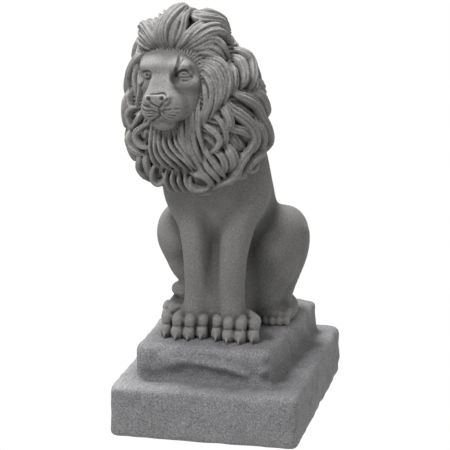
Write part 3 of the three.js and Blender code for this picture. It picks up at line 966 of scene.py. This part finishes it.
# %% Curls on the left
LEFT_CURLS = {
    "outer curl, top": (9, 11, [
        (235, 48, 4), (243, 52, 9), (250, 60, 11), (253, 71, 11), (252, 82, 9), (248, 90, 3)]),
    "outer curl, inner": (10, 10, [(232, 55, 3), (239, 60, 8), (244, 69, 10), (245, 79, 9), (240, 89, 3)]),
    "ear wave": (9, 9, [(230, 62, 2), (233, 72, 7), (234, 83, 8), (231, 94, 3)]),
    "second curl": (9, 10, [(250, 89, 3), (258, 93, 9), (264, 101, 11), (266, 111, 10), (263, 121, 4)]),
    "long wave": (9, 10, [
        (229, 88, 3), (238, 94, 9), (248, 99, 10), (257, 106, 10), (262, 117, 9), (268, 129, 9),
        (271, 141, 8), (266, 151, 3)]),
    "second curl, inner": (7, 8, [(247, 90, 2), (251, 97, 5), (257, 103, 6), (260, 112, 4)]),
    "lower wave": (10, 10, [
        (225, 99, 3), (231, 108, 9), (240, 115, 11), (249, 123, 11), (255, 134, 10), (255, 146, 8),
        (248, 155, 3)]),
    "wave's shadow side": (8, 8, [
        (255, 116, 3), (260, 126, 8), (264, 137, 9), (262, 147, 7), (256, 156, 3)]),
    "bright lump": (8, 11, [(222, 106, 3), (227, 113, 10), (230, 122, 11), (228, 131, 6)]),
    "hook by the jaw": (6, 9, [
        (203, 124, 2), (209, 128, 8), (216, 133, 10), (220, 141, 10), (216, 149, 8), (210, 153, 3)]),
    "behind the hook": (6, 7, [(212, 114, 2), (220, 120, 5), (225, 130, 6), (226, 140, 5), (222, 148, 2)]),
    "tear under the pocket": (10, 11, [(226, 144, 3), (231, 152, 9), (234, 161, 10), (230, 169, 4)]),
    "pocket's upper rim": (8, 9, [(225, 122, 3), (234, 128, 8), (243, 131, 9), (251, 138, 6)]),
    "pocket's right rim": (6, 8, [(250, 134, 3), (252, 144, 8), (248, 152, 8), (241, 158, 4)]),
    "pocket's floor": (9, 6, [(230, 133, 1), (236, 142, 2), (243, 150, 2)]),
    "under the hook": (7, 9, [(213, 149, 3), (221, 155, 8), (225, 164, 9), (224, 173, 4)]),
    "between hook and strands": (5, 8, [(204, 144, 3), (208, 154, 7), (215, 165, 8), (221, 175, 4)]),
    "lower edge, outer": (7, 9, [
        (267, 147, 3), (262, 153, 7), (255, 159, 9), (249, 166, 9), (243, 175, 3)]),
    "lower edge, small curl": (5, 8, [
        (257, 159, 3), (256, 166, 8), (251, 171, 9), (247, 167, 7), (250, 161, 3)]),
    "lower edge, second": (8, 10, [
        (254, 148, 3), (246, 155, 9), (241, 163, 10), (236, 172, 9), (226, 179, 4)]),
    "lower edge, third": (6, 9, [
        (241, 167, 3), (238, 174, 8), (229, 180, 9), (219, 184, 6), (211, 189, 2)]),
    "lower strand, first": (6, 8, [(209, 152, 2), (214, 161, 7), (220, 170, 9), (226, 178, 4)]),
    "lower strand, second": (6, 8, [(203, 157, 2), (208, 167, 7), (215, 175, 9), (221, 183, 4)]),
    "lower strand, third": (5, 8, [(196, 162, 2), (202, 171, 7), (209, 178, 9), (215, 187, 4)]),
}
print(len(LEFT_CURLS), "locks and curls on the left")

# %% [markdown]
# The beard hangs from the chin in narrow locks that swing to the lion's left. Each is a single strand, so no
# line is scored inside it.

# %% The beard
BEARD = {
    "beard strand 1": (4.1, 7.5, [
        (151, 125, 2), (151, 137, 7), (151, 149, 9), (154, 160, 9), (160, 168, 3)]),
    "beard strand 2": (4.1, 7.5, [
        (155, 129, 2), (155, 141, 8), (156, 152, 10), (162, 162, 10), (171, 170, 4)]),
    "beard strand 3": (4.1, 7.5, [
        (159, 131, 2), (159, 142, 8), (162, 153, 11), (170, 162, 11), (180, 171, 5)]),
    "beard strand 4": (4.1, 7.5, [
        (164, 132, 2), (164, 143, 8), (169, 153, 11), (178, 161, 11), (188, 171, 5)]),
    "beard strand 5": (4.1, 7.5, [
        (169, 132, 2), (170, 143, 8), (177, 153, 10), (187, 162, 10), (194, 172, 4)]),
    "beard strand 6": (4.1, 7.5, [
        (174, 131, 2), (176, 142, 7), (183, 152, 9), (191, 162, 8), (198, 171, 3)]),
    "beard strand 7": (4.1, 7, [(179, 127, 2), (180, 139, 6), (186, 150, 8), (192, 160, 3)]),
}
print(len(BEARD), "strands in the beard")

# %% [markdown]
# The mane's lower edge ends in short strands and in curls that close into rings.

# %% The fringe
FRINGE = {
    "ring curl on the right": (4.5, 9, [
        (155, 164, 3), (152, 172, 9), (154, 180, 10), (160, 183, 10), (165, 178, 9), (162, 172, 4)]),
    "fringe strand 1": (4, 8, [(167, 168, 3), (166, 177, 8), (169, 186, 8), (177, 192, 3)]),
    "fringe strand 2": (4, 8, [(173, 170, 3), (172, 179, 9), (176, 187, 9), (184, 191, 3)]),
    "fringe strand 3": (4, 8, [(179, 172, 3), (179, 180, 8), (183, 187, 8), (190, 191, 3)]),
    "fringe strand 4": (4, 8, [(185, 172, 3), (186, 181, 8), (191, 188, 9), (200, 191, 3)]),
    "ring curl, lower": (4.5, 9, [
        (190, 176, 4), (191, 185, 9), (198, 189, 10), (207, 187, 10), (211, 180, 5)]),
    "ring curl, upper": (4.5, 9, [(190, 173, 4), (198, 174, 9), (206, 178, 10), (211, 185, 5)]),
    "fringe strand 5": (4, 7, [(196, 190, 3), (205, 192, 6), (214, 190, 3)]),
}
print(len(FRINGE), "strands and curls in the fringe")

# %% [markdown]
# The lion's right side is seen at a slant, so what shows of its locks is narrow.

# %% Locks past the right cheek
RIGHT_LOCKS = {
    "right lock, top": (7, 9, [(148, 51, -2), (140, 56, 7), (133, 65, 9), (129, 76, 8), (130, 88, 3)]),
    "right lock, inner": (5, 7, [(143, 58, -2), (138, 66, 5), (135, 78, 6), (136, 90, 5), (137, 99, 2)]),
    "right strand by the eye": (4, 6, [
        (142, 64, -2), (140, 76, 4), (140, 89, 5), (138, 102, 4), (138, 110, 2)]),
    "right lock, second": (6, 9, [(133, 88, 3), (129, 96, 8), (130, 104, 7), (135, 110, 3)]),
    "right loop, outer": (4.5, 8, [
        (138, 106, 3), (131, 109, 8), (128, 117, 9), (131, 126, 7), (137, 129, 3)]),
    "right loop, inner": (4.5, 8, [(142, 109, 3), (139, 117, 8), (135, 124, 7), (131, 128, 3)]),
    "right pocket's ring": (5.5, 9, [
        (148, 123, 3), (141, 127, 8), (136, 134, 10), (138, 142, 10), (145, 147, 9), (152, 146, 4)]),
    "right pocket's lump": (7, 7, [(146, 128, 1), (145, 133, 4), (145, 139, 1)]),
    "right lock, fourth": (6, 9, [
        (131, 128, 3), (129, 137, 8), (131, 146, 9), (138, 152, 8), (146, 154, 3)]),
    "right lock, fifth": (6, 9, [
        (140, 150, 3), (140, 159, 8), (140, 168, 8), (146, 176, 7), (154, 182, 3)]),
    "right lock, sixth": (6, 8, [(147, 151, 3), (146, 161, 8), (148, 170, 8), (152, 178, 3)]),
}
print(len(RIGHT_LOCKS), "locks past the right cheek")

# %% [markdown]
# Behind, nothing of the hair is seen, so it follows what shows: locks of the same size fall away from the
# face and down, in an S. Each starts on the mane and walks down it in short steps.

# %% A lock that falls
SWING = 38  # degrees to each side
PACE = 6.5  # degrees to a step


def falling_lock(around, back, sway):
    """Seven stops of a lock 75 long: each step goes down and away from the face, turned by a sine."""
    stops = []
    for step in range(7):
        share = step / 6
        stops.append((around, back, 1 + 5 * np.sin(np.pi * share)))
        lean = np.radians(SWING * np.sin(2 * np.pi * share + sway))
        down = np.sin(np.radians(around))
        away = 0.55 + 0.45 * np.cos(np.radians(around))
        around += PACE * (down * np.cos(lean) - away * np.sin(lean)) / max(np.sin(np.radians(back)), 0.35)
        back += PACE * (down * np.sin(lean) + away * np.cos(lean))
    return stops


# %% [markdown]
# Between the locks the bare mass shows, so it is scored too, with lines that wander.

# %% The bare mass
def mane_mass(x, y, z):
    """The distance of the bare mass: its share's excess times its thickness, less 3 to fill gaps, and
    scored with wavy strands that run from the face to the nape."""
    away = [x - INSIDE[0], y - INSIDE[1], z - INSIDE[2]]
    left, ahead, up = [sum(r * p for r, p in zip(row, away)) for row in MANE_AXES]
    around = np.arctan2(left, up)
    back = np.arctan2(np.hypot(left, up), ahead)
    wave = 0.9 * np.sin(9 * back + 2 * around) + 0.5 * np.sin(5 * around - 4 * back)
    lines = scored(33 * around + 2 * wave)
    return ((mane_share(x, y, z) - 1) * MANE_THICK - 3 + GROOVE * lines).astype(np.float32)


# %% [markdown]
# The locks behind lie in staggered rows, and every second one swings the other way. They come first, and the
# locks from the photograph lie over them.

# %% All the hair
# Each row: how far around it lies, how far back its first lock starts, in degrees, and how many it has
ROWS = ((-100, 71, 6), (-75, 70, 5), (-50, 78, 5), (-22, 94, 4), (8, 112, 4), (40, 112, 4), (66, 106, 5),
        (92, 102, 4), (118, 110, 4), (-122, 72, 5), (142, 118, 3), (-142, 84, 4))
APART, STAGGER = 17, 8  # degrees
NAPE = 186  # no lock goes on past the nape, in degrees back
WIDE_STRAND = 9.5
FULLER = 1.12  # the locks overlap, so they are laid a little wider than they show
draw = np.random.default_rng(5)
hair = []
for number, (side, first, count) in enumerate(ROWS):
    for k in range(count):
        start = first + APART * k + STAGGER * (number % 2)
        stops = falling_lock(side + draw.uniform(-4, 4), start, draw.uniform(-0.6, 0.6) + np.pi * (k % 2))
        if stops[-1][1] < NAPE:
            path = on_mane(*smooth_path(stops, 24).T)
            hair.append(lock(path, half_width=16, height=9, strand=WIDE_STRAND))
print(len(hair), "locks behind")
for table in (BROW_LOCKS, CHEEK_LOCKS, LEFT_CURLS, BEARD, FRINGE, RIGHT_LOCKS):
    for half_width, height, stops in table.values():
        path = smooth_path(in_picture(stops), 5 * len(stops))
        hair.append(lock(path, FULLER * half_width, height))
print(len(hair), "locks in all")

# %% [markdown]
# The mane is too fine for one mesh, so it is made in four: the back in coarser steps, and the front in
# three bands. Past a cut each part sinks under the other, and a bowl is left free for the face.

# %% The mane's parts
ACROSS, ALONG, UPRIGHT = (-190, 122), (-175, 85), (228, 578)  # the whole mane's reach
CUT_BACK, CUT_BROW, CUT_BEARD = -38, 448, 362
LAP = 8  # how far a part goes on past a cut
FORE = 1  # the axis of the cut between back and front
FACE_BOWL = ((0, -16, -31), (47, 50, 50))


def mane_part(name, along, upright, step, cuts):
    """Lays the mass and the locks in one part's box, with its reach along the lion and upright. Hollowness
    is evened by (1.45 / step)^2, as on the body. Each cut is an axis, a place and the way past it."""
    clay = Clay(*zip(ACROSS, along, upright), step * FINE)
    clay.field = mane_mass(*clay.points())
    for shape in hair:
        clay.join(shape, 1.2)
    clay.carve(head_egg(*FACE_BOWL), 6)
    return piece(name, clay, LION_ORIGIN, shade_and_dirt=0.8 * (1.45 / step) ** 2, worn=0.16, cuts=cuts)


FRONT = (ALONG[0], CUT_BACK + LAP)
mane = [
    mane_part("lion_mane_back", (CUT_BACK - 12, ALONG[1]), UPRIGHT, 2.1, [(FORE, CUT_BACK, -1)]),
    mane_part("lion_mane_crown", FRONT, (CUT_BROW - LAP, UPRIGHT[1]), 1.4,
              [(FORE, CUT_BACK, 1), (UP, CUT_BROW, -1)]),
    mane_part("lion_mane_middle", FRONT, (CUT_BEARD - LAP, CUT_BROW + LAP), 1.45,
              [(FORE, CUT_BACK, 1), (UP, CUT_BROW, 1), (UP, CUT_BEARD, -1)]),
    mane_part("lion_mane_beard", FRONT, (UPRIGHT[0], CUT_BEARD + LAP), 1.55,
              [(FORE, CUT_BACK, 1), (UP, CUT_BEARD, 1)]),
]

# %% [markdown]
# The statue is cast in a mix of stone dust and cement that looks like granite: grey, matt, with dark and
# light grains about two millimetres across. All of it is drawn by nodes, on the places of the object itself.

# %% Granite's tools
granite = bpy.data.materials.new("granite")
granite.use_nodes = True
nodes, links = granite.node_tree.nodes, granite.node_tree.links
nodes.clear()


def node(kind, **settings):
    """A node of a kind. A setting goes to its socket of that name, or to the node itself."""
    made = nodes.new(kind)
    for key, value in settings.items():
        if key in made.inputs:
            made.inputs[key].default_value = value
        else:
            setattr(made, key, value)
    return made


def ramp(source, stops, tint=(1, 1, 1)):
    """The tint times a grey that runs evenly between stops of (place, grey)."""
    made = node("ShaderNodeValToRGB")
    links.new(source, made.inputs["Fac"])
    band = made.color_ramp
    while len(band.elements) < len(stops):
        band.elements.new(1)
    for element, (at, value) in zip(band.elements, stops):
        element.position = at
        element.color = (*(value * share for share in tint), 1)
    return made.outputs["Color"]


def mixed(a, b, **settings):
    """Two colours mixed by a factor and a way of blending."""
    made = node("ShaderNodeMix", data_type="RGBA", **settings)
    links.new(a, made.inputs["A"])
    links.new(b, made.inputs["B"])
    return made


def multiplied(a, b):
    """The product a b of two colours."""
    made = mixed(a, b, blend_type="MULTIPLY")
    made.inputs["Factor"].default_value = 1
    return made.outputs["Result"]


where = node("ShaderNodeTexCoord").outputs["Object"]


def noise(scale, detail):
    """A noise with scale lumps to the metre, and detail halvings of them added."""
    made = node("ShaderNodeTexNoise", Scale=scale, Detail=detail, Roughness=0.6)
    links.new(where, made.inputs["Vector"])
    return made.outputs["Fac"]


# %% [markdown]
# The lion has a fine, even grain. The plinth's is rougher, with more dark and more light in it, and each
# piece says by its "coarse" attribute which of the two it takes. Faint blotches lie over both.

# %% Grain and blotches
FINE_GREYS = [(0.3, 0.11), (0.44, 0.155), (0.57, 0.18), (0.73, 0.245)]
ROUGH_GREYS = [(0.32, 0.085), (0.45, 0.15), (0.56, 0.18), (0.7, 0.275)]
FINE_LUMPS = 420  # to the metre
fine_grain = ramp(noise(FINE_LUMPS, 3), FINE_GREYS, tint=(1.02, 1, 0.975))
rough_grain = ramp(noise(400, 3), ROUGH_GREYS, tint=(1.01, 0.99, 1.02))
grain = mixed(fine_grain, rough_grain)
links.new(node("ShaderNodeAttribute", attribute_name="coarse").outputs["Fac"], grain.inputs["Factor"])
blotches = ramp(noise(18, 4), [(0.3, 0.92), (0.7, 1.08)])
stone = multiplied(grain.outputs["Result"], blotches)
print("the fine grains are", round(1000 / FINE_LUMPS, 1), "mm across")

# %% [markdown]
# Painted shade and dirt darken the grooves, and wear lightens the ridges. All of them follow the hollowness
# that each vertex carries, brought from its span of -1 to 1 to that of a ramp. A slight bump makes the skin
# gritty.

# %% Painted shade, dirt, wear and grit
from_hollow = node("ShaderNodeMapRange")
from_hollow.inputs["From Min"].default_value = -1
links.new(node("ShaderNodeAttribute", attribute_name="hollow").outputs["Fac"], from_hollow.inputs["Value"])
# The ramp paints shade and dirt into the grooves and lightens the worn ridges.
shade_dirt_and_wear = ramp(from_hollow.outputs["Result"], [(0, 1.5), (0.5, 1), (0.7, 0.5), (1, 0.2)])
surface = node("ShaderNodeBsdfPrincipled", Roughness=0.88)
links.new(multiplied(stone, shade_dirt_and_wear), surface.inputs["Base Color"])
grit = node("ShaderNodeBump", Strength=0.4, Distance=0.001)
links.new(noise(330, 3), grit.inputs["Height"])
links.new(grit.outputs["Normal"], surface.inputs["Normal"])
links.new(surface.outputs["BSDF"], node("ShaderNodeOutputMaterial").inputs["Surface"])
print(len(nodes), "nodes draw the granite")

# %% [markdown]
# All the pieces wear it, ride on the one body, and stand in for the one solid.

# %% Pieces and their body
for part in (plinth, *body, head, *mane):
    part.data.materials.append(granite)
    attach(part, "root")
    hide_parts("lion_statue")
print(2 + len(body) + len(mane), "pieces stand in for the solid")

# %% [markdown]
# The statue stands on white paper. The paper glows by itself and lights nothing, so that it stays white in
# the picture however the lamps fall.

# %% The floor
PAPER_HALF = 20
floor_mesh = bpy.data.meshes.new("floor")
floor_mesh.from_pydata([(x * PAPER_HALF, y * PAPER_HALF, 0) for x, y in ((-1, -1), (1, -1), (1, 1), (-1, 1))],
                       [], [(0, 1, 2, 3)])
floor = put("floor", floor_mesh)
paper = bpy.data.materials.new("paper")
paper.use_nodes = True
GLOWING_PAPER = {"Base Color": (0, 0, 0, 1), "Emission Color": (1, 1, 1, 1), "Emission Strength": 1,
                 "Specular IOR Level": 0}
for socket, value in GLOWING_PAPER.items():
    paper.node_tree.nodes["Principled BSDF"].inputs[socket].default_value = value
floor_mesh.materials.append(paper)
floor.visible_diffuse = False
print("the paper is", 2 * PAPER_HALF, "m wide")

# %% [markdown]
# The light in the photograph is soft. Most comes from a skylight over the statue and a little behind it. A
# window in front, to the viewer's left, lights the face, and the room's walls fill the shadows.

# %% Room and lamps
world = bpy.data.worlds.new("room")
world.use_nodes = True
world.node_tree.nodes["Background"].inputs["Color"].default_value = (1, 1, 1, 1)
world.node_tree.nodes["Background"].inputs["Strength"].default_value = 0.56
bpy.context.scene.world = world
LAMP_SIZE = 0.6
HEART = (0, 0, 0.35)  # the middle of the statue, in metres


def lamp(name, at, power):
    """A square lamp at a place, in metres and watts, that points to the statue's middle."""
    data = bpy.data.lights.new(name, "AREA")
    data.size = LAMP_SIZE
    data.energy = power
    made = put(name, data)
    made.location = at
    made.rotation_euler = (Vector(HEART) - Vector(at)).to_track_quat("-Z", "Y").to_euler()


lamp("skylight", (-0.52, 0.3, 2.57), 74)
lamp("window", (-0.74, -1.28, 2.11), 30)

# %% [markdown]
# The camera stands where it was found at the start, and the picture's tones are shown as they are.

# %% The camera's stand
camera_data = bpy.data.cameras.new("camera")
camera_data.sensor_width = SENSOR
camera_data.lens = LENS
camera = put("camera", camera_data)
camera.matrix_world = Matrix.Translation(CAMERA_AT / 1000) @ Matrix((RIGHT, OVER, BACK)).transposed().to_4x4()
bpy.context.scene.camera = camera
bpy.context.scene.view_settings.view_transform = "Standard"
print("the lens is", LENS, "mm long")
